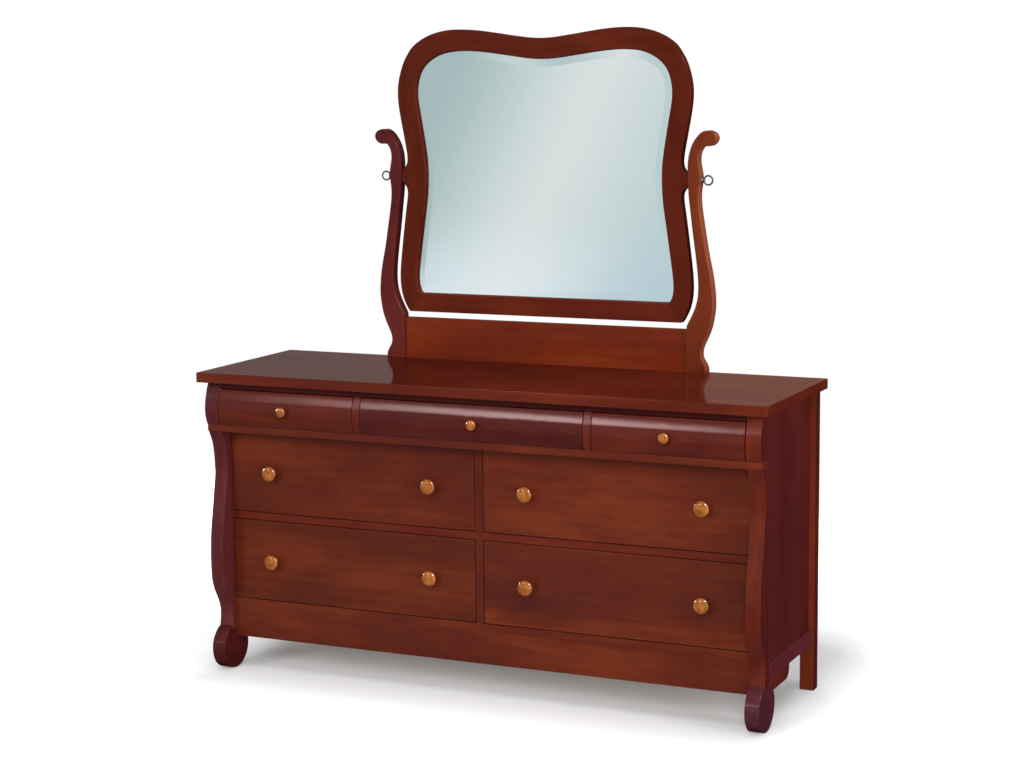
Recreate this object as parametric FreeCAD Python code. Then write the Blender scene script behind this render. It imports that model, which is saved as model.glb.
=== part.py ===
import FreeCAD, Part
import math
import os

# Dresser with a tilting mirror. Millimetres, +Z up.
# Origin: middle of the footprint, on the floor. +Y goes to the back, +X to
# the right as seen from the front.

V = FreeCAD.Vector
os.makedirs("parts", exist_ok=True)

# ---- driving dimensions -------------------------------------------------
W = 1727.2            # width over the top board (68 in)
D = 533.4             # depth of the top board (21 in)
H = 889.0             # height of the case (35 in)
TOP_T = 28.6          # top board thickness
TOP_R = 2.0           # eased edge of the top board
KNOB_FRONT = 15.0     # small knobs reach this far in front of the top board

POST_OUT = 842.0      # outer face of the posts from the centre plane
POST_IN = 801.0       # inner face of the front posts
POST_BACK = 92.0      # back plane of the front posts
POST_FOOT = 120.0     # the post ends inside the disc at this height
REAR_Y0 = 495.4       # front face of the rear posts
REAR_IN = 802.0

DISC_R = 66.5
DISC_Y = 77.0

RAIL_Z0, RAIL_Z1 = 132.0, 176.0       # side rail
SIDE_IN, SIDE_OUT = 807.0, 826.0      # recessed side panel
SIDE_RAIL_OUT = 834.0

WAIST_Z0, WAIST_Z1 = 716.5, 738.0     # rail under the top drawers
WAIST_Y = 22.0                        # its front face
TONGUE_Y = 60.0                       # back of the tongues that cross the posts
TOPRAIL_Z = 842.5
DIV_IN, DIV_OUT = 340.0, 362.0        # dividers between the top drawers

STILE = 11.3          # half width of the upright between large drawers
MID_Z0, MID_Z1 = 451.9, 472.8
BOT_Z0, BOT_Z1 = 190.4, 211.4
APRON_Z0 = 95.5
FACE_Y = 80.0         # front plane of the large drawers and their rails
FRONT_T = 21.0        # thickness of the large drawer fronts

BACK_Y0, BACK_Y1 = 521.0, 527.0       # back panel
DUST_Z0 = 726.0
RUN_W, RUN_H = 20.0, 15.0             # drawer runners

TD_Z0, TD_Z1 = 739.5, 840.5           # top drawer fronts
TD_BACK = 55.0                        # back plane of the shaped fronts
UD_Z0, UD_Z1 = 475.3, 714.0           # upper large drawers
LD_Z0, LD_Z1 = 214.0, 449.4           # lower large drawers
LD_X0, LD_X1 = 14.0, 797.5
TC_X = 337.5
TO_X0, TO_X1 = 364.5, 797.5
BOX_T = 12.7          # drawer sides and backs
BOX_B = 6.0           # drawer bottoms

KNOB_R = 22.0         # large knob
KNOB_P = 32.0
SKNOB_R = 14.3        # small knob
SKNOB_P = 24.0
BIG_KNOB_X = (148.5, 663.0)
UP_KNOB_Z, LOW_KNOB_Z = 594.0, 331.7
TOP_KNOB_Z = 789.5
TOP_KNOB_X = (-580.5, 20.0, 580.5)
ROW_DX = 4.0          # the small drawers and their dividers sit right of centre
MIRROR_DX = 6.5       # and so does the mirror with its uprights
EASE = 1.5            # eased front edges of the uprights
FRAME_EASE = 1.0      # and of the mirror frame

SUP_Y0, SUP_Y1 = 499.0, 531.0         # mirror supports
CROSS_Y0 = 511.0
CROSS_H = 121.5
CROSS_X = 451.0
FRAME_Y0, FRAME_Y1 = 504.0, 531.0     # mirror frame
RABBET_Y = 514.0
RABBET_W = 8.0
GLASS_T = 5.0
BEVEL_W = 23.0
BACK_W = 20.0          # wider rabbet for the backing
BACKING_T = 5.0
GAP = 0.5
BORE_X = 412.0         # depth of the bore for the thumb screw
BEVEL_D = 2.2
PIVOT_Y = 515.0
PIVOT_Z = 545.0       # above the top surface
SHANK_R = 3.0
HOLE_R = 3.1
RING_X = 510.0
RING_R = 12.8         # centre line of the ring
WIRE_R = 2.4
HUB_R = 4.6           # bead where the ring meets its shank

YC = (D - KNOB_FRONT) / 2.0


# ---- helpers -------------------------------------------------------------
def box(x0, x1, y0, y1, z0, z1):
    return Part.makeBox(x1 - x0, y1 - y0, z1 - z0, V(x0, y0, z0))


def sym_box(x1, y0, y1, z0, z1):
    return box(-x1, x1, y0, y1, z0, z1)


def mirror_x(s):
    return s.mirror(V(0, 0, 0), V(1, 0, 0))


def cyl(x, y, z, r, length, d):
    return Part.makeCylinder(r, length, V(x, y, z), V(*d))


def spline(pts):
    c = Part.BSplineCurve()
    c.interpolate([V(*p) for p in pts])
    return c.toShape()


def line(a, b):
    return Part.makeLine(V(*a), V(*b))


def face_of(edges):
    return Part.Face(Part.Wire(Part.__sortEdges__(edges)))


def export(name, shape, dx=0.0):
    s = shape.copy()
    s.translate(V(dx, -YC, 0))
    s.exportStep("parts/%s.step" % name)


def group(shapes):
    return Part.makeCompound(shapes)


def front_edges(shape, y):
    return [e for e in shape.Edges
            if abs(e.BoundBox.YMin - y) < 1e-3 and abs(e.BoundBox.YMax - y) < 1e-3]


def one(shape):
    # a boolean result with a single solid in it
    return shape.Solids[0] if len(shape.Solids) == 1 else shape


# ---- front profile: height above the floor, distance from the front edge --
UPPER = [(-25.6, 32.0), (-38, 26), (-50, 21), (-64, 16.5), (-84, 11),
         (-100, 9), (-115, 9), (-128, 11), (-145, 16.5), (-151, 19.0)]
LOWER = [(-170.0, 24.6), (-182, 30.6), (-195, 37), (-206, 42), (-217, 45.4),
         (-227, 47.6), (-241, 49.8), (-268, 52.5), (-295, 53.2), (-321, 50.2),
         (-350, 44.2), (-385, 38), (-410, 33), (-437, 27.5), (-467, 22),
         (-496, 18.5), (-525, 16.5), (-555, 15.5), (-585, 16), (-615, 19.2),
         (-630, 23.6), (-645, 29.6), (-654, 34.3), (-673, 45.2), (-685, 51.8),
         (-697, 56.8), (-710, 60.2), (-725, 61), (-740, 59.6), (-758, 56)]


def yz(pts, x):
    return [(x, y, H + z) for z, y in pts]


def shaped_slab(x0, x1, y_back, z0, z1):
    # a board whose front follows the upper profile
    p = yz(UPPER, x0)
    top, bot = p[0], p[-1]
    f = face_of([spline(p),
                 line(top, (x0, y_back, top[2])),
                 line((x0, y_back, top[2]), (x0, y_back, bot[2])),
                 line((x0, y_back, bot[2]), bot)])
    s = f.extrude(V(x1 - x0, 0, 0))
    return one(s.common(box(x0 - 1, x1 + 1, -50, y_back + 50, z0, z1)))


# ---- case ------------------------------------------------------------------
top_board = sym_box(W / 2, 0, D, H - TOP_T, H)
top_board = top_board.makeFillet(TOP_R, [e for e in top_board.Edges])

p_up = yz(UPPER, POST_IN)
p_lo = yz(LOWER, POST_IN)
z_top = H - TOP_T
p_up[0] = (POST_IN, p_up[0][1], z_top)
post_face = face_of([
    line((POST_IN, POST_BACK, z_top), p_up[0]),
    spline(p_up),
    line(p_up[-1], p_lo[0]),
    spline(p_lo),
    line(p_lo[-1], (POST_IN, 57.0, POST_FOOT)),
    line((POST_IN, 57.0, POST_FOOT), (POST_IN, POST_BACK, POST_FOOT)),
    line((POST_IN, POST_BACK, POST_FOOT), (POST_IN, POST_BACK, z_top))])
post = post_face.extrude(V(POST_OUT - POST_IN, 0, 0))
notch = box(POST_IN - 5, POST_OUT + 5, -50, TONGUE_Y, WAIST_Z0, WAIST_Z1)
right_post = one(post.cut(notch))

disc = cyl(POST_IN, DISC_Y, DISC_R, DISC_R, POST_OUT - POST_IN, (1, 0, 0))
disc = disc.makeFillet(1.5, [e for e in disc.Edges if abs(e.Length - 2 * math.pi * DISC_R) < 1.0])
right_disc = one(disc.cut(post))

br = box(812, 834, POST_BACK, 295, 94, RAIL_Z0)
rear_low = [e for e in br.Edges
            if abs(e.CenterOfMass.y - 295) < 0.1 and abs(e.CenterOfMass.z - 94) < 0.1]
br = br.makeFillet(28.0, rear_low)
right_bracket = one(br.cut(cyl(790, DISC_Y, DISC_R, DISC_R + 0.3, 60, (1, 0, 0))))

right_rear = box(REAR_IN, POST_OUT, REAR_Y0, D, 0, z_top)
right_panel = box(SIDE_IN, SIDE_OUT, POST_BACK, REAR_Y0, RAIL_Z1, z_top)
right_rail = box(SIDE_IN, SIDE_RAIL_OUT, POST_BACK, REAR_Y0, RAIL_Z0, RAIL_Z1)

front_top_rail = sym_box(POST_IN, 28, 90, TOPRAIL_Z, z_top)
waist = sym_box(POST_IN, WAIST_Y, POST_BACK, WAIST_Z0, WAIST_Z1)
waist = waist.fuse(sym_box(POST_OUT, WAIST_Y, TONGUE_Y, WAIST_Z0, WAIST_Z1)).removeSplitter()
nose = [e for e in waist.Edges
        if abs(e.CenterOfMass.y - WAIST_Y) < 0.01 and e.Length > 1000]
waist = one(waist.makeFillet(1.2, nose))
right_divider = shaped_slab(DIV_IN, DIV_OUT, POST_BACK, WAIST_Z1, TOPRAIL_Z)

center_stile = sym_box(STILE, FACE_Y, 101, BOT_Z1, WAIST_Z0)
mid_right = box(STILE, POST_IN, FACE_Y, 125, MID_Z0, MID_Z1)
bottom_rail = sym_box(POST_IN, FACE_Y, 130, BOT_Z0, BOT_Z1)
apron = sym_box(POST_IN, FACE_Y + 1, 101, APRON_Z0, BOT_Z0)

back_panel = sym_box(REAR_IN, BACK_Y0, BACK_Y1, RAIL_Z0, z_top)
dust = sym_box(SIDE_IN, POST_BACK, REAR_Y0, DUST_Z0, WAIST_Z1)
dust = one(dust.fuse(sym_box(REAR_IN, REAR_Y0, BACK_Y0, DUST_Z0, WAIST_Z1)).removeSplitter())
center_partition = sym_box(9.5, 101, BACK_Y0, BOT_Z1, DUST_Z0)
center_partition = center_partition.fuse(sym_box(9.5, 130, BACK_Y0, BOT_Z0, DUST_Z0))
center_partition = one(center_partition.removeSplitter())
upper_partition = box(341.5, 360.5, POST_BACK, BACK_Y0, WAIST_Z1, z_top)

runners = []
for z, y0 in ((LD_Z0 + 2.0, 130.0), (UD_Z0 + 2.0, 125.0)):
    inner = box(9.5, 9.5 + RUN_W, y0, BACK_Y0, z - 0.5 - RUN_H, z - 0.5)
    outer = box(SIDE_IN - RUN_W, SIDE_IN, y0, REAR_Y0, z - 0.5 - RUN_H, z - 0.5)
    for r in (inner, outer):
        runners += [r, mirror_x(r)]

# ---- mirror supports -------------------------------------------------------
SUP_OUTER = [(509, 0), (508.2, 15), (503, 27), (496, 38), (492.6, 50), (493, 62.5),
             (501, 85), (512.5, 110), (521, 135), (526, 160), (529.2, 183),
             (529.5, 207), (525.8, 250), (519.2, 290), (511, 328), (503.5, 370),
             (496.3, 413), (489.8, 455), (486.4, 485), (486, 505), (488.2, 525),
             (490.6, 543), (490.8, 556), (488.2, 574), (484.6, 594), (484.8, 613),
             (489.5, 629)]
SUP_HOOK = [(497.5, 640), (508, 640.2), (519, 641), (529, 646), (536.0, 654.5),
            (538.0, 664), (534, 674), (523, 681.5), (509, 684), (495, 679.5),
            (482, 668), (470.5, 652), (462, 634), (456.5, 614), (454.0, 595),
            (453.5, 573), (454.3, 546), (456.5, 504), (461.3, 462), (467.6, 410),
            (473.8, 364), (480, 318), (484, 282), (486, 246), (483.2, 210),
            (474.6, 181), (462.5, 155), (452, 134.5)]


def xz(pts, y, x_sign=1):
    return [(x_sign * x, y, H + z) for x, z in pts]


p_out = xz(SUP_OUTER, SUP_Y0)
p_hook = xz(SUP_HOOK, SUP_Y0)
sup_face = face_of([
    spline(p_out),
    line(p_out[-1], p_hook[0]),
    spline(p_hook),
    line(p_hook[-1], (CROSS_X, SUP_Y0, H + 131)),
    line((CROSS_X, SUP_Y0, H + 131), (CROSS_X, SUP_Y0, H)),
    line((CROSS_X, SUP_Y0, H), p_out[0])])
sup = sup_face.extrude(V(0, SUP_Y1 - SUP_Y0, 0))
sup = sup.makeFillet(EASE, [e for e in front_edges(sup, SUP_Y0)
                            if e.BoundBox.ZMax > H + 1.0])
right_support = one(sup.cut(cyl(440, PIVOT_Y, H + PIVOT_Z, HOLE_R, 70, (1, 0, 0))))

cross = sym_box(CROSS_X, CROSS_Y0, SUP_Y1, H, H + CROSS_H)
crosspiece = one(cross)

SCREW_X = (463.0, 484.0)
mount_screws = []
for sx in SCREW_X:
    shank = cyl(sx, 512, H - TOP_T, 2.4, 70, (0, 0, 1))
    head = cyl(sx, 512, H - TOP_T - 3.0, 5.0, 3.0, (0, 0, 1))
    s = one(shank.fuse(head))
    mount_screws += [s, mirror_x(s)]
for s in mount_screws:
    moved = s.copy()
    moved.translate(V(MIRROR_DX, 0, 0))
    top_board = top_board.cut(moved)
top_board = one(top_board)
for s in mount_screws[::2]:
    right_support = one(right_support.cut(s))

# ---- mirror -----------------------------------------------------------------
F_OUT_TOP = [(0, 946), (20, 946.3), (40, 947.6), (71, 951.4), (102, 955.6), (130, 959.8),
             (160, 964.3), (200, 969.4), (232, 972.2), (262, 973.2), (290, 972.2),
             (315, 968.6), (345, 961), (370, 951), (394, 937.3), (414, 920.6),
             (428, 901.4), (440, 880.3), (450.5, 853), (457, 828), (460.6, 805),
             (461.2, 784), (459.4, 758), (455, 728), (449.2, 696), (443.3, 666),
             (438.0, 638), (434.2, 616), (432.6, 596)]
F_OUT_LOW = [(433.2, 494), (435.2, 474), (439.8, 444), (446, 399), (452, 354),
             (457.5, 309), (461.5, 270), (462.6, 238), (459.6, 205), (451.6, 176),
             (441.5, 155), (432.5, 141)]
OPEN = [(0, 887), (20, 887.5), (40, 888.9), (71, 892.6), (102, 897), (133, 901.5),
        (164, 905.6), (194.5, 909.2), (225, 911.6), (250, 912.4), (272, 911.5),
        (295, 909.2), (316, 905), (335, 898.6), (353, 889.6), (371, 876.5), (388, 857),
        (399, 832), (404.6, 803), (404.6, 772), (399.4, 738), (392.6, 700),
        (385, 655), (378.2, 610), (375, 575), (374.6, 540), (376, 505), (379.4, 470),
        (386, 425), (394, 371), (401, 322), (407, 279), (409.8, 244), (408.2, 222),
        (402.8, 206), (395.0, 195)]

# outline of the frame, right half; the boss flares out to meet the support
boss = [(432.6, PIVOT_Z + 51), (436.5, PIVOT_Z + 33), (446, PIVOT_Z + 22), (452.8, PIVOT_Z + 17.5)]
boss_l = [(452.8, PIVOT_Z - 17.5), (446, PIVOT_Z - 22), (436.5, PIVOT_Z - 33), (433.2, PIVOT_Z - 51)]


def full(pts):
    # both halves of a symmetric outline, left end first
    return [(-x, z) for x, z in reversed(pts[1:])] + pts


def outline_face(y, top_half, low_half, z_low):
    top = spline(xz(full(top_half), y))
    low = spline(xz(low_half, y))
    neck = line(xz([top_half[-1]], y)[0], xz([low_half[0]], y)[0])
    r = [neck, low]
    left = [e.mirror(V(0, 0, 0), V(1, 0, 0)) for e in r]
    bl = xz([low_half[-1]], y)[0]
    bottom = line(bl, (-bl[0], bl[1], bl[2]))
    return face_of([top] + r + left + [bottom])


def offset_pts(pts, d):
    # push a half outline (top middle to bottom corner) outwards by d
    out = []
    n = len(pts)
    for i, (x, z) in enumerate(pts):
        a = pts[max(i - 1, 0)]
        b = pts[min(i + 1, n - 1)]
        tx, tz = b[0] - a[0], b[1] - a[1]
        if i == 0:
            tx, tz = 1.0, 0.0
        l = math.hypot(tx, tz)
        # the outline runs clockwise on the right half: outward is to the left
        out.append((x - tz / l * d, z + tx / l * d))
    out[0] = (0.0, pts[0][1] + d)
    return out


def opening_face(y, pts):
    bl = xz([pts[-1]], y)[0]
    return face_of([spline(xz(full(pts), y)), line(bl, (-bl[0], y, bl[2]))])


frame_solid = outline_face(FRAME_Y0, F_OUT_TOP[:-1] + boss, boss_l + F_OUT_LOW[1:], 141).extrude(
    V(0, FRAME_Y1 - FRAME_Y0, 0))
open_solid = opening_face(FRAME_Y0 - 5, OPEN).extrude(V(0, 40, 0))


def dense(pts, n):
    c = Part.BSplineCurve()
    c.interpolate([V(x, 0, z) for x, z in pts])
    out = []
    a, b = c.FirstParameter, c.LastParameter
    for i in range(n + 1):
        p = c.value(a + (b - a) * i / n)
        out.append((p.x, p.z))
    out[0] = (0.0, pts[0][1])
    return out


def plate_wire(pts, y):
    r = [V(x, y, H + z) for x, z in pts]
    l = [V(-x, y, H + z) for x, z in reversed(pts[1:])]
    w = r + l
    return Part.makePolygon(w + [w[0]])


OPEN_LOW = 195.0
BASE = dense(OPEN[:-3] + [(409.2, 228)], 56)


def loop_pts(d):
    # the opening's outline pushed outwards by d, with a square lower corner
    o = offset_pts(BASE, d)
    o.append((o[-1][0] - 2.0, OPEN_LOW - d))
    return o


def plate(d, y0, y1):
    return Part.Face(plate_wire(loop_pts(d), y0)).extrude(V(0, y1 - y0, 0))


rab_solid = plate(RABBET_W, RABBET_Y, FRAME_Y1 + 5)
rab_back = plate(BACK_W, RABBET_Y + GLASS_T, FRAME_Y1 + 5)
ring_frame = one(frame_solid.cut(open_solid))
eased = [e for e in front_edges(ring_frame, FRAME_Y0)
         if e.Length > 100 and e.BoundBox.ZMax > H + 150]
ring_frame = ring_frame.makeFillet(FRAME_EASE, eased)
ring_frame = ring_frame.cut(rab_solid).cut(rab_back)

# screws through the edge of the backing into the frame
screw_pts = []
_mid = offset_pts(BASE, 14.0)
for i in (9, 20, 36, 46, 54):
    screw_pts.append(_mid[i])
screw_pts.append((260.0, OPEN_LOW - 14.0))
backing_screws = []
yb = RABBET_Y + GLASS_T + BACKING_T
for x, z in screw_pts:
    sh = cyl(x, yb - 14.0, H + z, 1.5, 14.0, (0, 1, 0))
    hd = cyl(x, yb, H + z, 3.6, 1.8, (0, 1, 0))
    sc = one(sh.fuse(hd))
    backing_screws += [sc, mirror_x(sc)]
for sc in backing_screws:
    ring_frame = ring_frame.cut(sc)

# mitre planes through the inner and outer corners
def wedge(p_in, p_out, y0, y1):
    # everything of the right half above the mitre line, as a big prism
    dx, dz = p_out[0] - p_in[0], p_out[1] - p_in[1]
    l = math.hypot(dx, dz)
    ux, uz = dx / l, dz / l
    a = (p_in[0] - ux * 120, p_in[1] - uz * 120)
    b = (p_out[0] + ux * 160, p_out[1] + uz * 160)
    return a, b


def prism(pts, y0, y1):
    w = [V(x, y0, H + z) for x, z in pts]
    f = Part.Face(Part.makePolygon(w + [w[0]]))
    return f.extrude(V(0, y1 - y0, 0))


T_IN, T_OUT = (384.0, 862.0), (430.0, 897.5)
B_IN, B_OUT = (388.0, 195.0), (426.5, 141.0)
ta, tb = wedge(T_IN, T_OUT, 0, 0)
ba, bb = wedge(B_IN, B_OUT, 0, 0)
top_cutter = prism([(-ta[0], ta[1]), (ta[0], ta[1]), tb, (tb[0], 1200), (-tb[0], 1200), (-tb[0], tb[1])],
                   FRAME_Y0 - 10, FRAME_Y1 + 10)
bot_cutter = prism([(-ba[0], ba[1]), (ba[0], ba[1]), bb, (-bb[0], bb[1])],
                   FRAME_Y0 - 10, FRAME_Y1 + 10)
frame_top = one(ring_frame.common(top_cutter))
frame_bottom = one(ring_frame.common(bot_cutter))
sides = ring_frame.cut(top_cutter).cut(bot_cutter)
right_side = [s for s in sides.Solids if s.CenterOfMass.x > 0][0]
right_side = one(right_side.cut(cyl(BORE_X, PIVOT_Y, H + PIVOT_Z, HOLE_R, 60, (1, 0, 0))))

# glass: a bevelled plate. Both outlines keep the same number of corners.
bevel = Part.makeLoft([plate_wire(loop_pts(-BEVEL_W), RABBET_Y),
                       plate_wire(loop_pts(RABBET_W - GAP), RABBET_Y + BEVEL_D)], True, True)
slab = plate(RABBET_W - GAP, RABBET_Y + BEVEL_D, RABBET_Y + GLASS_T)
glass = one(bevel.fuse(slab))
backing = plate(BACK_W - GAP, RABBET_Y + GLASS_T, yb)
for sc in backing_screws:
    backing = backing.cut(sc)
backing = one(backing)


# ---- thumb screws ---------------------------------------------------------
shank = cyl(BORE_X + 2, PIVOT_Y, H + PIVOT_Z, SHANK_R, RING_X - RING_R - BORE_X - 2, (1, 0, 0))
shoulder = Part.makeCone(8.0, 3.6, 5.4, V(491.6, PIVOT_Y, H + PIVOT_Z), V(1, 0, 0))
ring = Part.makeTorus(RING_R, WIRE_R, V(RING_X, PIVOT_Y, H + PIVOT_Z), V(0, 1, 0))
hub = Part.makeSphere(HUB_R, V(RING_X - RING_R, PIVOT_Y, H + PIVOT_Z))
right_thumb = one(shank.fuse(shoulder).fuse(ring).fuse(hub))


# ---- drawers -------------------------------------------------------------
KNOB_PROFILE = [(0.0, 9.8), (1.8, 9.9), (5.0, 8.6), (9.5, 8.4), (13.0, 10.8),
                (16.2, 16.2), (19.2, 20.5), (22.6, 22.0), (26.0, 21.2), (28.7, 18.4),
                (30.5, 13.6), (31.5, 7.8), (31.9, 3.6), (32.0, 0.0)]


def knob(x, y, z, r, p, tenon_r, tenon_l, sink):
    # turned profile: distance from the face, radius. sink: base below the face
    k, q = r / 22.0, p / 32.0
    base = 9.8 * k
    c = spline([(x + rr * k, y - d * q, z) for d, rr in KNOB_PROFILE])
    e = [c, line((x, y - p, z), (x, y + tenon_l, z)),
         line((x, y + tenon_l, z), (x + tenon_r, y + tenon_l, z)),
         line((x + tenon_r, y + tenon_l, z), (x + tenon_r, y + sink, z)),
         line((x + tenon_r, y + sink, z), (x + base, y + sink, z))]
    if sink > 0:
        e.append(line((x + base, y + sink, z), (x + base, y, z)))
    return face_of(e).revolve(V(x, 0, z), V(0, 1, 0), 360)


def as_solid(s):
    if s.ShapeType == "Solid":
        return s
    if len(s.Solids) == 1:
        return s.Solids[0]
    return Part.Solid(Part.Shell(s.Faces))


def drawer_box(x0, x1, y0, y1, z0, z1):
    left = box(x0, x0 + BOX_T, y0, y1, z0, z1)
    right = box(x1 - BOX_T, x1, y0, y1, z0, z1)
    back = box(x0 + BOX_T, x1 - BOX_T, y1 - BOX_T, y1, z0 + 10.0 + BOX_B, z1)
    bottom = box(x0 + BOX_T, x1 - BOX_T, y0, y1, z0 + 10.0, z0 + 10.0 + BOX_B)
    return [left, right, back, bottom]


def large_drawer(name, x0, x1, z0, z1, kz, sgn):
    front = box(x0, x1, FACE_Y, FACE_Y + FRONT_T, z0, z1)
    rim = [e for e in front.Edges
           if abs(e.CenterOfMass.y - FACE_Y) < 0.01]
    front = front.makeFillet(0.8, rim)
    knobs = []
    for kx in BIG_KNOB_X:
        kn = as_solid(knob(sgn * kx, FACE_Y, kz, KNOB_R, KNOB_P, 6.0, 14.0, 0.0))
        front = front.cut(cyl(sgn * kx, FACE_Y - 1, kz, 6.0, 15.0, (0, 1, 0)))
        knobs.append(kn)
    export(name + "_front", one(front))
    export(name + "_knobs", group(knobs))
    bx0, bx1 = (x0 + 2.0, x1 - 2.5) if sgn > 0 else (x0 + 2.5, x1 - 2.0)
    export(name + "_box", group(drawer_box(bx0, bx1, FACE_Y + FRONT_T, 505.0,
                                           z0 + 2.0, z1 - 8.0)))


def top_drawer(name, x0, x1, kx):
    front = shaped_slab(x0, x1, TD_BACK, TD_Z0, TD_Z1)
    kn = as_solid(knob(kx, 9.0, TOP_KNOB_Z, SKNOB_R, SKNOB_P, 4.0, 16.0, 3.0))
    head = one(kn.cut(front))
    tenon = cyl(kx, 5.0, TOP_KNOB_Z, 4.0, 20.0, (0, 1, 0))
    kn2 = one(head.fuse(tenon).removeSplitter())
    front = one(front.cut(cyl(kx, -20.0, TOP_KNOB_Z, 4.0, 45.0, (0, 1, 0))))
    export(name + "_front", front)
    export(name + "_knobs", kn2)
    export(name + "_box", group(drawer_box(x0 + 1.5, x1 - 1.5, TD_BACK, 500.0,
                                           WAIST_Z1 + 0.8, TD_Z1 - 9.0)))


large_drawer("upper_right", LD_X0, LD_X1, UD_Z0, UD_Z1, UP_KNOB_Z, 1)
large_drawer("upper_left", -LD_X1, -LD_X0, UD_Z0, UD_Z1, UP_KNOB_Z, -1)
large_drawer("lower_right", LD_X0, LD_X1, LD_Z0, LD_Z1, LOW_KNOB_Z, 1)
large_drawer("lower_left", -LD_X1, -LD_X0, LD_Z0, LD_Z1, LOW_KNOB_Z, -1)
top_drawer("top_left", -TO_X1, -TO_X0 + ROW_DX, TOP_KNOB_X[0])
top_drawer("top_center", -TC_X + ROW_DX, TC_X + ROW_DX, TOP_KNOB_X[1])
top_drawer("top_right", TO_X0 + ROW_DX, TO_X1, TOP_KNOB_X[2])

# ---- write the rest ----------------------------------------------------------
export("top_board", top_board)
for nm, s, dx in (("scroll_post", right_post, 0.0), ("foot_disc", right_disc, 0.0),
                  ("foot_bracket", right_bracket, 0.0), ("rear_post", right_rear, 0.0),
                  ("side_panel", right_panel, 0.0), ("side_rail", right_rail, 0.0),
                  ("drawer_divider", right_divider, ROW_DX),
                  ("mirror_support", right_support, MIRROR_DX),
                  ("thumbscrew", right_thumb, MIRROR_DX)):
    export("right_" + nm, s, dx)
    export("left_" + nm, mirror_x(s), dx)
export("front_top_rail", front_top_rail)
export("waist_rail", waist)
export("center_stile", center_stile)
export("mid_rails", group([mid_right, mirror_x(mid_right)]))
export("bottom_rail", bottom_rail)
export("front_apron", apron)
export("back_panel", back_panel)
export("dust_panel", dust)
export("center_partition", center_partition)
export("upper_partitions", group([upper_partition, mirror_x(upper_partition)]), ROW_DX)
export("drawer_runners", group(runners))
for nm, s in (("mirror_crosspiece", crosspiece),
              ("mirror_mount_screws", group(mount_screws)),
              ("mirror_frame_top", frame_top), ("mirror_frame_bottom", frame_bottom),
              ("mirror_frame_right", right_side), ("mirror_frame_left", mirror_x(right_side)),
              ("mirror_glass", glass), ("mirror_backing", backing),
              ("backing_screws", group(backing_screws))):
    export(nm, s, MIRROR_DX)
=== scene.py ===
import math
import bpy
from mathutils import Matrix, Vector

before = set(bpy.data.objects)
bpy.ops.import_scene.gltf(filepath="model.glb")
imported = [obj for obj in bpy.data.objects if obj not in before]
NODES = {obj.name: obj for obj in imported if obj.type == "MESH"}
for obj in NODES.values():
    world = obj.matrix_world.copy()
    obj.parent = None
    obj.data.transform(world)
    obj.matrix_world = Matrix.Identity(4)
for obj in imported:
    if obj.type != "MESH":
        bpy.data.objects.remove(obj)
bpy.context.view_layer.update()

scene = bpy.context.scene


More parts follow.
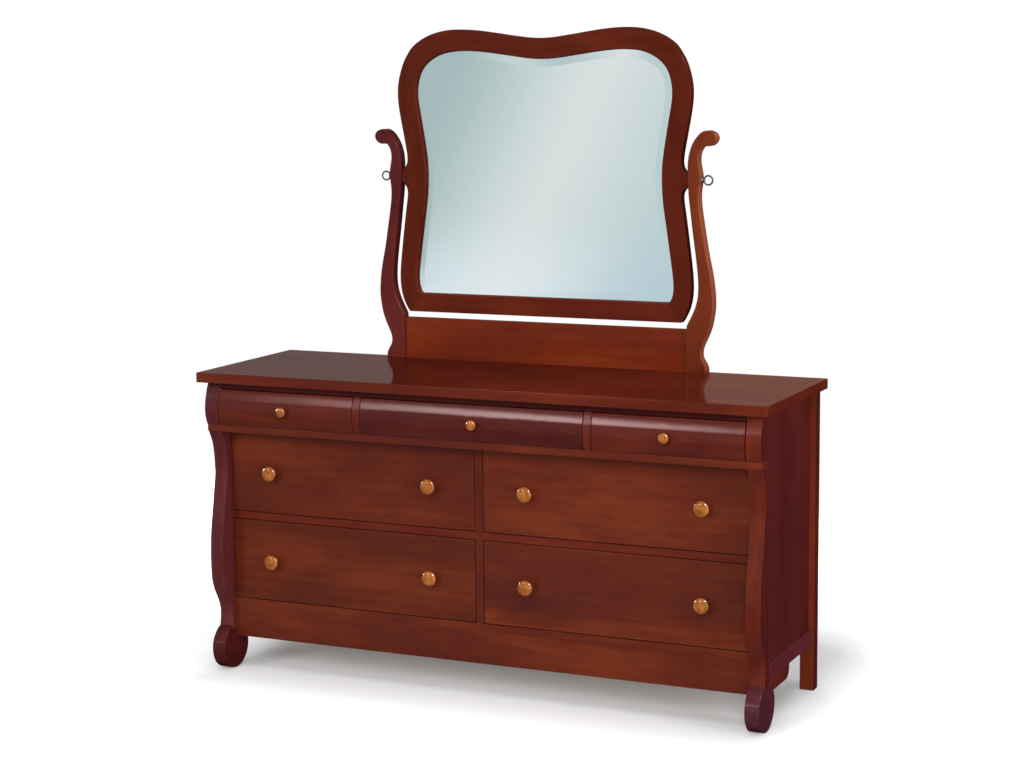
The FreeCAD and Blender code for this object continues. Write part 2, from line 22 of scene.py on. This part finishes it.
# ---------------------------------------------------------------- node helper
class Graph:
    def __init__(self, name):
        self.m = bpy.data.materials.new(name)
        self.m.use_nodes = True
        self.nt = self.m.node_tree
        self.nt.nodes.clear()
        self.out = self.nt.nodes.new("ShaderNodeOutputMaterial")
        self.b = self.nt.nodes.new("ShaderNodeBsdfPrincipled")
        self.link(self.b.outputs["BSDF"], self.out.inputs["Surface"])
        self.co = None

    def node(self, kind, **kw):
        n = self.nt.nodes.new(kind)
        for k, v in kw.items():
            setattr(n, k, v)
        return n

    def link(self, a, b):
        self.nt.links.new(a, b)

    def put(self, sock, v):
        if isinstance(v, bpy.types.NodeSocket):
            self.link(v, sock)
        else:
            sock.default_value = v

    def coords(self):
        if self.co is None:
            self.co = self.node("ShaderNodeTexCoord").outputs["Object"]
        return self.co

    def mapping(self, scale, loc=(0, 0, 0), rot=(0, 0, 0), vec=None):
        n = self.node("ShaderNodeMapping")
        n.inputs["Scale"].default_value = scale
        n.inputs["Location"].default_value = loc
        n.inputs["Rotation"].default_value = rot
        self.link(vec if vec is not None else self.coords(), n.inputs["Vector"])
        return n.outputs["Vector"]

    def noise(self, vec, scale=1.0, detail=2.0, rough=0.5, dist=0.0):
        n = self.node("ShaderNodeTexNoise")
        n.inputs["Scale"].default_value = scale
        n.inputs["Detail"].default_value = detail
        n.inputs["Roughness"].default_value = rough
        n.inputs["Distortion"].default_value = dist
        self.link(vec, n.inputs["Vector"])
        return n.outputs["Fac"]

    def math(self, op, a, b=None, c=None, clamp=False):
        n = self.node("ShaderNodeMath", operation=op, use_clamp=clamp)
        self.put(n.inputs[0], a)
        if b is not None:
            self.put(n.inputs[1], b)
        if c is not None:
            self.put(n.inputs[2], c)
        return n.outputs[0]

    def ramp(self, fac, stops, interp="LINEAR"):
        n = self.node("ShaderNodeValToRGB")
        cr = n.color_ramp
        cr.interpolation = interp
        while len(cr.elements) > 1:
            cr.elements.remove(cr.elements[-1])
        cr.elements[0].position, cr.elements[0].color = stops[0][0], stops[0][1]
        for p, c in stops[1:]:
            e = cr.elements.new(p)
            e.color = c
        self.link(fac, n.inputs["Fac"])
        return n.outputs["Color"]

    def maprange(self, v, a, b, c, d):
        n = self.node("ShaderNodeMapRange")
        n.inputs["From Min"].default_value = a
        n.inputs["From Max"].default_value = b
        n.inputs["To Min"].default_value = c
        n.inputs["To Max"].default_value = d
        self.link(v, n.inputs["Value"])
        return n.outputs["Result"]

    def mix(self, fac, a, b, mode="MIX"):
        n = self.node("ShaderNodeMix", data_type="RGBA", blend_type=mode)
        self.put(n.inputs["Factor"], fac)
        self.put(n.inputs[6], a)
        self.put(n.inputs[7], b)
        return n.outputs[2]

    def bevel(self, r):
        n = self.node("ShaderNodeBevel", samples=4)
        n.inputs["Radius"].default_value = r
        return n.outputs["Normal"]

    def edge(self, bev):
        g = self.node("ShaderNodeNewGeometry").outputs["Normal"]
        d = self.node("ShaderNodeVectorMath", operation="DOT_PRODUCT")
        self.link(bev, d.inputs[0])
        self.link(g, d.inputs[1])
        return self.maprange(d.outputs["Value"], 0.995, 0.80, 0.0, 1.0)

    def bump(self, h, strength, dist, normal=None):
        n = self.node("ShaderNodeBump")
        n.inputs["Strength"].default_value = strength
        n.inputs["Distance"].default_value = dist
        self.link(h, n.inputs["Height"])
        if normal is not None:
            self.link(normal, n.inputs["Normal"])
        return n.outputs["Normal"]


def rgb(r, g, b):
    return (r, g, b, 1.0)


def srgb(r, g, b):
    def f(c):
        c /= 255.0
        return c / 12.92 if c <= 0.04045 else ((c + 0.055) / 1.055) ** 2.4
    return (f(r), f(g), f(b), 1.0)


def stretch(axis, along, across):
    return tuple(along if a == axis else across for a in "XYZ")


CHERRY = dict(dark=srgb(66, 22, 20), mid=srgb(84, 32, 18), light=srgb(108, 46, 22),
              wear_and_sheen=srgb(140, 74, 42))
STAIN = dict(dark=srgb(60, 17, 17), mid=srgb(76, 25, 21), light=srgb(96, 36, 24),
             wear_and_sheen=srgb(128, 62, 42))
PALE = dict(dark=srgb(138, 102, 64), mid=srgb(172, 136, 92), light=srgb(196, 164, 120),
            wear_and_sheen=srgb(206, 178, 138))
BOARD = dict(dark=srgb(86, 55, 34), mid=srgb(110, 76, 49), light=srgb(132, 96, 65),
             wear_and_sheen=srgb(146, 112, 80))
UMBER = dict(dark=srgb(58, 15, 9), mid=srgb(76, 25, 13), light=srgb(98, 38, 17),
             wear_and_sheen=srgb(132, 66, 42))
# purple sheen painted into the colour of the right foot disc
WINE_SHEEN = dict(dark=srgb(60, 24, 30), mid=srgb(74, 32, 38), light=srgb(90, 42, 44),
            wear_and_sheen=srgb(124, 70, 64))
EMBER = dict(dark=srgb(72, 21, 10), mid=srgb(92, 32, 13), light=srgb(118, 47, 19),
             wear_and_sheen=srgb(150, 82, 44))
AMBER = dict(dark=srgb(80, 29, 14), mid=srgb(100, 40, 18), light=srgb(123, 57, 27),
             wear_and_sheen=srgb(156, 96, 62))
GARNET = dict(dark=srgb(64, 19, 17), mid=srgb(82, 28, 17), light=srgb(106, 43, 21),
              wear_and_sheen=srgb(132, 78, 58))
# pale palette painted onto the right support's right-hand face as light falling there
FAWN_SIDE_LIGHT = dict(dark=srgb(114, 56, 36), mid=srgb(132, 71, 44), light=srgb(152, 88, 60),
            wear_and_sheen=srgb(172, 118, 90))
# palette with a painted purple sheen, for the left scroll post
MULBERRY_SHEEN = dict(dark=srgb(54, 18, 20), mid=srgb(82, 32, 33), light=srgb(104, 48, 46),
                wear_and_sheen=srgb(136, 88, 84))
ROSE = dict(dark=srgb(74, 27, 33), mid=srgb(92, 35, 42), light=srgb(108, 45, 48),
            wear_and_sheen=srgb(136, 78, 72))
HONEY = dict(dark=srgb(120, 60, 17), mid=srgb(150, 84, 25), light=srgb(182, 116, 46),
             wear_and_sheen=srgb(196, 134, 72))


TOP = dict(dark=srgb(52, 11, 7), mid=srgb(70, 20, 12), light=srgb(92, 33, 18),
           wear_and_sheen=srgb(120, 70, 48))
EDGE = dict(dark=srgb(66, 22, 16), mid=srgb(84, 31, 19), light=srgb(104, 44, 25),
            wear_and_sheen=srgb(134, 76, 52))
CLARET = dict(dark=srgb(60, 14, 17), mid=srgb(77, 24, 22), light=srgb(100, 40, 28),
              wear_and_sheen=srgb(126, 70, 58))


def tone(pal, k):
    # the same stain, k times as light
    return {n: tuple(c * k for c in v[:3]) + (1.0,) for n, v in pal.items()}


def wood(name, axis="X", seed=0.0, pal=CHERRY, planks=None, rough=(0.32, 0.46), coat=0.20,
         coat_rough=0.15, spec=0.04, radius=0.0012, figure=0.8, grain=0.75, pore=0.14,
         bump=0.06, wear_and_sheen=0.5, edge_pal=None, edge_z=0.0, painted_light_ramp=None, painted_side_light=None):
    g = Graph(name)
    off = (seed * 1.71 + 0.3, seed * 2.37 - 0.7, seed * 0.93 + 1.1)
    tilt = 0.012 * math.sin(seed * 5.1)
    rot = {"X": (0, 0, tilt), "Y": (0, 0, tilt), "Z": (tilt, 0, 0)}[axis]
    # broad clouds of stain, smaller patches, faint growth bands, fibres, pores
    cloud = g.noise(g.mapping(stretch(axis, 2.1, 6.0), off, rot), 1.0, 2.0, 0.5, 0.5)
    patch = g.noise(g.mapping(stretch(axis, 7.0, 22.0), (off[1], off[2], off[0]), rot), 1.0, 3.0, 0.55, 0.8)
    rings = g.node("ShaderNodeTexWave", wave_type="RINGS", wave_profile="SIN",
                   rings_direction=axis)
    rings.inputs["Scale"].default_value = 2.6
    rings.inputs["Distortion"].default_value = 7.0
    rings.inputs["Detail"].default_value = 3.0
    rings.inputs["Detail Scale"].default_value = 1.1
    g.link(g.mapping(stretch(axis, 0.55, 4.4), (off[2], off[0], off[1]), rot), rings.inputs["Vector"])
    fine = g.noise(g.mapping(stretch(axis, 4.0, 190.0), off, rot), 1.0, 4.0, 0.62, 0.0)
    hair = g.noise(g.mapping(stretch(axis, 34.0, 1000.0), off, rot), 1.0, 2.0, 0.6, 0.0)
    f = g.math("MULTIPLY", g.maprange(cloud, 0.28, 0.72, 0.0, 1.0), 0.52 * figure)
    f = g.math("MULTIPLY_ADD", g.maprange(patch, 0.28, 0.72, 0.0, 1.0), 0.22 * figure, f)
    f = g.math("MULTIPLY_ADD", rings.outputs["Fac"], 0.09 * figure, f)
    f = g.math("MULTIPLY_ADD", g.maprange(fine, 0.3, 0.7, 0.0, 1.0), 0.12 * grain, f)
    f = g.math("ADD", f, 0.5 - (0.415 * figure + 0.06 * grain))
    if planks:
        pa, width, amp = planks
        sep = g.node("ShaderNodeSeparateXYZ")
        g.link(g.coords(), sep.inputs[0])
        idx = g.math("FLOOR", g.math("DIVIDE", g.math("ADD", sep.outputs["XYZ".index(pa)], seed * 0.37), width))
        wn = g.node("ShaderNodeTexWhiteNoise", noise_dimensions="1D")
        g.link(g.math("ADD", idx, seed * 7.13), wn.inputs["W"])
        f = g.math("MULTIPLY_ADD", g.math("SUBTRACT", wn.outputs["Value"], 0.5), amp, f)
    f0 = f
    if painted_light_ramp:
        # painted light and shade: the colour gets lighter or darker along one axis of the piece, standing in
        # for light falling unevenly on it: axis, from, to, amounts
        fz = g.node("ShaderNodeSeparateXYZ")
        g.link(g.coords(), fz.inputs[0])
        f = g.math("ADD", f, g.maprange(fz.outputs["XYZ".index(painted_light_ramp[0])], *painted_light_ramp[1:]))
    col = g.ramp(f, [(0.10, pal["dark"]), (0.5, pal["mid"]), (0.92, pal["light"])])
    if edge_pal:
        # painted light: the board's edges get a lighter palette than its face, standing in for the different
        # light and reflections on the face and on the edges
        sz = g.node("ShaderNodeSeparateXYZ")
        g.link(g.coords(), sz.inputs[0])
        face = g.maprange(sz.outputs[2], edge_z - 0.0018, edge_z - 0.0002, 0.0, 1.0)
        ends = g.ramp(f0, [(0.10, edge_pal["dark"]), (0.5, edge_pal["mid"]), (0.92, edge_pal["light"])])
        col = g.mix(face, ends, col)
        g.link(g.maprange(face, 0.0, 1.0, 0.12, coat), g.b.inputs["Coat Weight"])
    if painted_side_light:
        # painted light and shade: faces turned one way along an axis get a lighter or darker palette, standing
        # in for how light falls on that side: axis, side, palette
        sn = g.node("ShaderNodeSeparateXYZ")
        g.link(g.node("ShaderNodeNewGeometry").outputs["Normal"], sn.inputs[0])
        turned = g.math("MULTIPLY", sn.outputs["XYZ".index(painted_side_light[0])], float(painted_side_light[1]))
        other = g.ramp(f, [(0.10, painted_side_light[2]["dark"]), (0.5, painted_side_light[2]["mid"]), (0.92, painted_side_light[2]["light"])])
        col = g.mix(g.maprange(turned, 0.45, 0.75, 0.0, 1.0), col, other)
    fleck = g.maprange(hair, 0.56, 0.70, 1.0, 1.0 - pore)
    comb = g.node("ShaderNodeCombineColor")
    for i in range(3):
        g.link(fleck, comb.inputs[i])
    col = g.mix(1.0, col, comb.outputs["Color"], "MULTIPLY")
    bev = g.bevel(radius)
    # edges lightened: partly rubbed wear, partly a painted highlight along the edges
    wear_and_sheen_mask = g.math("MULTIPLY", g.edge(bev), g.maprange(cloud, 0.3, 0.7, 0.4 * wear_and_sheen, wear_and_sheen))
    col = g.mix(wear_and_sheen_mask, col, pal["wear_and_sheen"])
    g.link(col, g.b.inputs["Base Color"])
    rf = g.math("MULTIPLY_ADD", g.math("SUBTRACT", fine, 0.5), 0.35, patch)
    g.link(g.maprange(rf, 0.25, 0.75, rough[0], rough[1]), g.b.inputs["Roughness"])
    g.b.inputs["Specular IOR Level"].default_value = spec
    g.b.inputs["Coat Weight"].default_value = coat
    g.b.inputs["Coat Roughness"].default_value = coat_rough
    h = g.math("MULTIPLY_ADD", hair, 0.6, fine)
    g.link(g.bump(h, bump, 0.0005, bev), g.b.inputs["Normal"])
    g.link(g.bump(g.noise(g.mapping((14, 14, 14), off), 1.0, 2.0), 0.02, 0.0006, bev),
           g.b.inputs["Coat Normal"])
    return g.m


# ---------------------------------------------------------------- materials
def knob_wood(name, seed):
    g = Graph(name)
    off = (seed * 1.3, seed * 0.7 + 2.0, seed * 2.1)
    mott = g.noise(g.mapping((60, 60, 60), off), 1.0, 3.0, 0.6, 0.6)
    fibre = g.noise(g.mapping((420, 420, 34), off), 1.0, 3.0, 0.6)
    f = g.math("MULTIPLY", g.maprange(mott, 0.3, 0.7, 0.0, 1.0), 0.6)
    f = g.math("MULTIPLY_ADD", g.maprange(fibre, 0.3, 0.7, 0.0, 1.0), 0.4, f)
    pal = tone(HONEY, 0.85)
    g.link(g.ramp(f, [(0.12, pal["dark"]), (0.5, pal["mid"]), (0.92, pal["light"])]),
           g.b.inputs["Base Color"])
    g.link(g.maprange(mott, 0.3, 0.7, 0.22, 0.32), g.b.inputs["Roughness"])
    g.b.inputs["Specular IOR Level"].default_value = 0.15
    g.b.inputs["Coat Weight"].default_value = 0.75
    g.b.inputs["Coat Roughness"].default_value = 0.06
    g.link(g.bump(fibre, 0.05, 0.0003), g.b.inputs["Normal"])
    return g.m


def brushed(name, base, rough=(0.22, 0.38), scale=180.0):
    g = Graph(name)
    n1 = g.noise(g.mapping((scale, scale, scale * 6)), 1.0, 3.0, 0.6)
    n2 = g.noise(g.mapping((60, 60, 60)), 1.0, 2.0)
    dark = tuple(c * 0.62 for c in base[:3]) + (1.0,)
    g.link(g.ramp(n2, [(0.3, dark), (0.62, base)]), g.b.inputs["Base Color"])
    g.b.inputs["Metallic"].default_value = 1.0
    g.link(g.maprange(n1, 0.3, 0.7, rough[0], rough[1]), g.b.inputs["Roughness"])
    bev = g.bevel(0.0004)
    g.link(g.bump(n1, 0.08, 0.0002, bev), g.b.inputs["Normal"])
    return g.m


def mirror_mat(name):
    g = Graph(name)
    soft = g.noise(g.mapping((1.6, 1.6, 1.6)), 1.0, 1.0)
    g.link(g.ramp(soft, [(0.3, rgb(0.91, 0.94, 0.93)), (0.7, rgb(0.94, 0.96, 0.96))]), g.b.inputs["Base Color"])
    g.b.inputs["Metallic"].default_value = 1.0
    smudge = g.noise(g.mapping((7, 7, 7)), 1.0, 4.0, 0.6)
    g.link(g.maprange(smudge, 0.3, 0.7, 0.015, 0.045), g.b.inputs["Roughness"])
    return g.m


# grain axis and boards of each piece
SEED = {n: i + 1 for i, n in enumerate(sorted(NODES))}
AXIS = {}
for n in NODES:
    if n.endswith(("_post", "_divider", "_support", "_panel")) or n in (
            "center_stile", "mirror_frame_left", "mirror_frame_right"):
        AXIS[n] = "Z"
    elif n.endswith(("_side_rail", "_bracket", "_disc", "_box")) or n in (
            "drawer_runners", "center_partition", "upper_partitions"):
        AXIS[n] = "Y"
    else:
        AXIS[n] = "X"
AXIS["back_panel"] = "X"
AXIS["dust_panel"] = "X"

PEWTER = brushed("pewter_ring", rgb(0.085, 0.082, 0.07), rough=(0.55, 0.68))
SCREW = brushed("zinc_screw", rgb(0.56, 0.56, 0.55))


def dress(node):
    s = SEED[node] * 0.61
    ax = AXIS[node]
    if node == "mirror_glass":
        return mirror_mat("silvered_plate")
    if node.endswith("thumbscrew"):
        return PEWTER
    if node in ("mirror_mount_screws", "backing_screws"):
        return SCREW
    if node.endswith("_knobs"):
        return knob_wood("honey_" + node, s)
    if node.endswith("_box") or node in ("dust_panel", "center_partition", "upper_partitions",
                                         "drawer_runners"):
        return wood("pale_" + node, ax, s, PALE, rough=(0.5, 0.66), coat=0.0,
                    spec=0.3, radius=0.0008, figure=0.8, pore=0.12, bump=0.14, wear_and_sheen=0.3)
    if node in ("back_panel", "mirror_backing"):
        return wood("board_" + node, ax, s, BOARD, rough=(0.55, 0.72), coat=0.0,
                    spec=0.25, radius=0.0008, figure=0.7, pore=0.12, bump=0.16, wear_and_sheen=0.2)
    # painted light: the top is darker to the left and lighter to the right, and its face is darker than its
    # edges, standing in for how light and reflections fall on it
    if node == "top_board":
        return wood("cherry_top", "X", s, TOP, planks=("Y", 0.105, 0.10), rough=(0.28, 0.38),
                    coat=0.45, coat_rough=0.08, spec=0.0, radius=0.002, figure=0.75,
                    edge_pal=EDGE, edge_z=0.889, painted_light_ramp=("X", -0.45, 0.55, -0.20, 0.26))
    # painted shade: the rail under the top's overhang is stained half as light, standing in for the shade there
    if node == "front_top_rail":
        return wood("cherry_" + node, ax, s, tone(STAIN, 0.5), coat=0.12, spec=0.03)
    if node.endswith("_front") and not node.startswith("top"):
        return wood("cherry_" + node, "X", s, tone(CHERRY, 0.88 if node == "lower_left_front" else 1.0),
                    planks=("Z", 0.094, 0.16))
    if node.endswith("_front"):
        return wood("cherry_" + node, "X", s,
                    tone(STAIN, 0.8) if "center" in node else tone(GARNET, 0.93 if "left" in node else 1.0),
                    coat=0.27, coat_rough=0.10, spec=0.03)
    # painted light: the right foot disc gets a lighter, purple palette standing in for a reflection, the left
    # disc a darker one standing in for shade
    if node == "right_foot_disc":
        return wood("cherry_" + node, ax, s, WINE_SHEEN, radius=0.0018, coat=0.35)
    if node.endswith("_disc"):
        return wood("cherry_" + node, ax, s, tone(STAIN, 0.72), radius=0.0018)
    # painted light: a purple sheen painted into the left post's palette, and the post painted darker towards
    # its top for the shade under the top board
    if node == "left_scroll_post":
        return wood("cherry_" + node, ax, s, MULBERRY_SHEEN, radius=0.0018, coat=0.16,
                    spec=0.04, painted_light_ramp=("Z", 0.60, 0.84, 0.08, -0.22))
    # painted light: the rear post's front face gets a lighter orange palette than its other faces, standing in
    # for light falling on it
    if node == "right_rear_post":
        return wood("cherry_" + node, ax, s, tone(GARNET, 0.82), radius=0.0015, coat=0.1, spec=0.03,
                    painted_side_light=("Y", -1, tone(AMBER, 1.2)))
    if node == "right_side_rail":
        return wood("cherry_" + node, ax, s, ROSE)
    if node.endswith("_side_panel"):
        return wood("cherry_" + node, "Z", s, STAIN, planks=("Y", 0.101, 0.10), figure=0.7)
    if node.startswith("mirror_frame"):
        # painted shade: the left and top members are stained darker than the right and bottom ones, standing in
        # for how light falls on the frame
        pal = tone(UMBER, 0.82) if node.endswith(("left", "top")) else tone(UMBER, 0.96)
        return wood("cherry_" + node, ax, s, pal, radius=0.002, figure=0.7, grain=0.6,
                    coat=0.09, spec=0.0)
    # painted light: this support gets a lighter, more orange palette than the left one, its right-hand face a
    # paler one still, and it is painted darker low down and lighter high up, standing in for light from the
    # right
    if node == "right_mirror_support":
        return wood("cherry_" + node, ax, s, tone(AMBER, 0.88), radius=0.005, coat=0.12, spec=0.02,
                    painted_side_light=("X", 1, FAWN_SIDE_LIGHT),
                    painted_light_ramp=("Z", 0.9, 1.5, -0.16, 0.06))
    # painted shade: this support gets a darker palette than the right one and is painted darker towards its
    # top, standing in for shade
    if node == "left_mirror_support":
        return wood("cherry_" + node, ax, s, CLARET, radius=0.004, coat=0.12, spec=0.03,
                    painted_light_ramp=("Z", 1.0, 1.55, 0.30, -0.36))
    # painted light: the crosspiece gets a brighter orange palette, standing in for the light falling on it
    if node == "mirror_crosspiece":
        return wood("cherry_" + node, ax, s, EMBER, coat=0.10, spec=0.02)
    if node.endswith("_drawer_divider") or node == "mid_rails":
        return wood("cherry_" + node, ax, s, GARNET, coat=0.16, spec=0.04)
    # painted shade: the post's right-hand faces get a darker palette, standing in for the shade on that side
    if node == "right_scroll_post":
        return wood("cherry_" + node, ax, s, GARNET, radius=0.0018, coat=0.14, spec=0.03,
                    painted_side_light=("X", 1, tone(STAIN, 0.9)))
    if node.endswith("_post"):
        return wood("cherry_" + node, ax, s, radius=0.0018, coat=0.14, spec=0.04)
    return wood("cherry_" + node, ax, s)


for name in sorted(NODES):
    o = NODES[name]
    m = dress(name)
    o.data.materials.clear()
    o.data.materials.append(m)


# ---------------------------------------------------------------- stage
FLOOR_GLOW = 0.08


def floor_mat():
    g = Graph("studio_floor")
    n = g.noise(g.mapping((1.2, 1.2, 1.2)), 1.0, 3.0)
    g.link(g.ramp(n, [(0.3, rgb(0.79, 0.79, 0.79)), (0.7, rgb(0.81, 0.81, 0.81))]), g.b.inputs["Base Color"])
    # painted light: the floor glows, faintly everywhere and more strongly outwards so its edge melts into the
    # backdrop, with a faint cool tint
    ln = g.node("ShaderNodeVectorMath", operation="LENGTH")
    g.link(g.mapping((1.0, 1.5, 1.0)), ln.inputs[0])
    far = g.maprange(ln.outputs["Value"], 1.25, 2.1, FLOOR_GLOW, 1.1)
    sep = g.node("ShaderNodeSeparateXYZ")
    g.link(g.coords(), sep.inputs[0])
    # painted light: more glow beside and in front of the dresser, lifting its shadow there
    side_shadow_lift = g.node("ShaderNodeMapRange", interpolation_type="SMOOTHSTEP")
    side_shadow_lift.inputs["From Min"].default_value = 0.76
    side_shadow_lift.inputs["From Max"].default_value = 1.00
    side_shadow_lift.inputs["To Max"].default_value = 0.36
    g.link(g.math("ABSOLUTE", sep.outputs[0]), side_shadow_lift.inputs["Value"])
    front = g.node("ShaderNodeMapRange", interpolation_type="SMOOTHSTEP")
    front.inputs["From Min"].default_value = -0.20
    front.inputs["From Max"].default_value = -0.52
    front.inputs["To Max"].default_value = 0.34
    g.link(sep.outputs[1], front.inputs["Value"])
    shadow_lift = g.math("MAXIMUM", side_shadow_lift.outputs["Result"], front.outputs["Result"])
    g.link(g.math("ADD", far, shadow_lift), g.b.inputs["Emission Strength"])
    g.b.inputs["Emission Color"].default_value = rgb(0.90, 1.0, 0.97)
    g.b.inputs["Roughness"].default_value = 0.9
    g.b.inputs["Specular IOR Level"].default_value = 0.0
    return g.m


bpy.ops.mesh.primitive_plane_add(size=1.0, location=(0, 0, 0))
floor = bpy.context.object
floor.name = "studio_floor"
floor.data.transform(Matrix.Diagonal((7.0, 5.0, 1.0, 1.0)))
floor.data.materials.append(floor_mat())
floor.visible_glossy = False
floor.visible_diffuse = False

world = bpy.data.worlds.new("studio")
scene.world = world
world.use_nodes = True


class WorldGraph(Graph):
    def __init__(self, w):
        self.nt = w.node_tree
        self.nt.nodes.clear()
        self.out = self.nt.nodes.new("ShaderNodeOutputWorld")
        self.bg = self.nt.nodes.new("ShaderNodeBackground")
        self.link(self.bg.outputs[0], self.out.inputs["Surface"])
        self.co = self.node("ShaderNodeTexCoord").outputs["Generated"]


def smooth(g, v, a, b, c=0.0, d=1.0):
    n = g.node("ShaderNodeMapRange", interpolation_type="SMOOTHSTEP")
    n.inputs["From Min"].default_value = a
    n.inputs["From Max"].default_value = b
    n.inputs["To Min"].default_value = c
    n.inputs["To Max"].default_value = d
    g.link(v, n.inputs["Value"])
    return n.outputs["Result"]


w = WorldGraph(world)
xyz = w.node("ShaderNodeSeparateXYZ")
w.link(w.co, xyz.inputs[0])
dx, dy, dz = xyz.outputs
# room that the plate and the varnish see: a cool wall with a slanting patch of
# light in front, dim walls elsewhere
dc = w.math("MINIMUM", w.math("MAXIMUM", dz, -0.118), 0.02)
t = w.math("ADD", w.math("MULTIPLY_ADD", dc, -0.405, dx), 0.379)
down = smooth(w, dc, -0.066, -0.106)
left = w.mix(down, rgb(0.408, 0.522, 0.530), rgb(0.585, 0.71, 0.77))
right_ = w.mix(down, rgb(0.525, 0.640, 0.655), rgb(0.51, 0.64, 0.71))
wall = w.mix(smooth(w, t, -0.01, 0.05), left, right_)
streak = w.mix(down, rgb(0.72, 0.785, 0.78), rgb(0.78, 0.84, 0.87))
wall = w.mix(smooth(w, w.math("ABSOLUTE", t), 0.0, 0.066, 1.0, 0.0), wall, streak)
low = w.mix(smooth(w, dz, -0.17, -0.14), rgb(0.06, 0.055, 0.06), wall)
band = w.math("MULTIPLY", smooth(w, dz, -0.262, -0.246), smooth(w, dz, -0.226, -0.210, 1.0, 0.0))
low = w.mix(band, low, wall)
low = w.mix(smooth(w, dz, -0.31, -0.43), low, rgb(0.30, 0.31, 0.32))
front = w.mix(smooth(w, dz, 0.17, 0.23), low, rgb(0.08, 0.08, 0.085))
# window on the right, the one seen along the rounded edges
pane = w.math("MULTIPLY", smooth(w, dx, 0.66, 0.74),
              w.math("MULTIPLY", smooth(w, dz, -0.26, -0.16), smooth(w, dz, 0.30, 0.40, 1.0, 0.0)))
front = w.mix(w.math("MULTIPLY", pane, smooth(w, dy, 0.05, -0.15)), front, rgb(4.4, 4.1, 4.2))
back = w.mix(smooth(w, dx, -0.50, -0.31), rgb(0.43, 0.36, 0.335), rgb(0.53, 0.325, 0.26))
back = w.mix(smooth(w, dz, -0.02, 0.07), rgb(0.06, 0.022, 0.045), back)
back = w.mix(smooth(w, dz, 0.30, 0.50), back, rgb(0.10, 0.10, 0.11))
env = w.mix(smooth(w, dy, -0.15, 0.10), front, back)
# long softbox high on the front left, the one seen along the round drawers
box = w.math("MULTIPLY", w.math("MULTIPLY", smooth(w, dz, 0.250, 0.345), smooth(w, dz, 0.362, 0.388, 1.0, 0.0)),
             smooth(w, w.math("ABSOLUTE", w.math("ADD", dx, 0.402)), 0.0, 0.135, 1.0, 0.0))
box = w.math("MULTIPLY", box, smooth(w, dy, -0.2, -0.5))
env = w.mix(box, env, rgb(39.0, 29.5, 29.5))
cam_ray = w.node("ShaderNodeLightPath").outputs["Is Camera Ray"]
w.link(w.mix(cam_ray, env, rgb(1.0, 1.0, 1.0)), w.bg.inputs["Color"])
w.bg.inputs["Strength"].default_value = 1.0


def area(name, loc, aim, size, radiance, color=(1, 1, 1), seen=True, lights=True):
    d = bpy.data.lights.new(name, "AREA")
    d.shape = "RECTANGLE"
    d.size, d.size_y = size
    d.energy = radiance * math.pi * size[0] * size[1]
    d.color = color
    o = bpy.data.objects.new(name, d)
    scene.collection.objects.link(o)
    o.location = loc
    o.rotation_euler = (Vector(aim) - Vector(loc)).to_track_quat("-Z", "Y").to_euler()
    o.visible_glossy = seen
    o.visible_diffuse = lights
    return o


# lamps that give the glints on the knobs
area("glint_right", (3.7, -2.2, 4.2), (0, 0, 0.5), (2.0, 1.6), 70, lights=False)
area("glint_left", (-5.0, -0.3, 2.1), (0, 0, 0.5), (1.6, 1.4), 60, lights=False)
# large soft sources
area("back_fill", (-0.8, 5.2, 0.50), (0, 0, 0.5), (3.6, 0.8), 10.0, seen=False)
area("front_left", (-2.60, -4.40, 1.90), (0, -0.25, 0.7), (1.2, 0.9), 10, seen=False)
area("front_fill", (0.9, -5.0, 3.3), (0.2, 0, 0.6), (4.6, 1.8), 6.0, seen=False)
area("front_right", (2.9, -5.3, 1.3), (0.7, 0, 0.5), (1.0, 1.4), 27, seen=False)
area("box_right", (5.0, -1.2, 1.5), (0.4, 0, 0.8), (1.2, 1.8), 9, (1.0, 0.93, 1.0), seen=False)
area("overhead", (0.3, -0.45, 5.0), (0.04, -0.05, 0.4), (5.2, 4.6), 2.1, seen=False)

# ---------------------------------------------------------------- camera
F_PX, YAW, PITCH, ROLL = 2187.6063, 0.433498981, 0.148230220, -0.0101205053
EYE = Vector((2.59300671, -5.29433691 - 0.2592, 0.889 + 0.891347097))
fwd = Vector((-math.sin(YAW) * math.cos(PITCH), math.cos(YAW) * math.cos(PITCH), -math.sin(PITCH)))
right = Vector((math.cos(YAW), math.sin(YAW), 0.0))
up = right.cross(fwd)
r2 = right * math.cos(ROLL) + up * math.sin(ROLL)
u2 = -right * math.sin(ROLL) + up * math.cos(ROLL)
cam_d = bpy.data.cameras.new("camera")
cam_d.sensor_fit = "HORIZONTAL"
cam_d.sensor_width = 36.0
cam_d.lens = F_PX / 1024.0 * 36.0
cam = bpy.data.objects.new("camera", cam_d)
scene.collection.objects.link(cam)
rot = Matrix((r2, u2, -fwd)).transposed().to_4x4()
cam.matrix_world = Matrix.Translation(EYE) @ rot
scene.camera = cam

scene.view_settings.view_transform = "Standard"
scene.view_settings.look = "None"
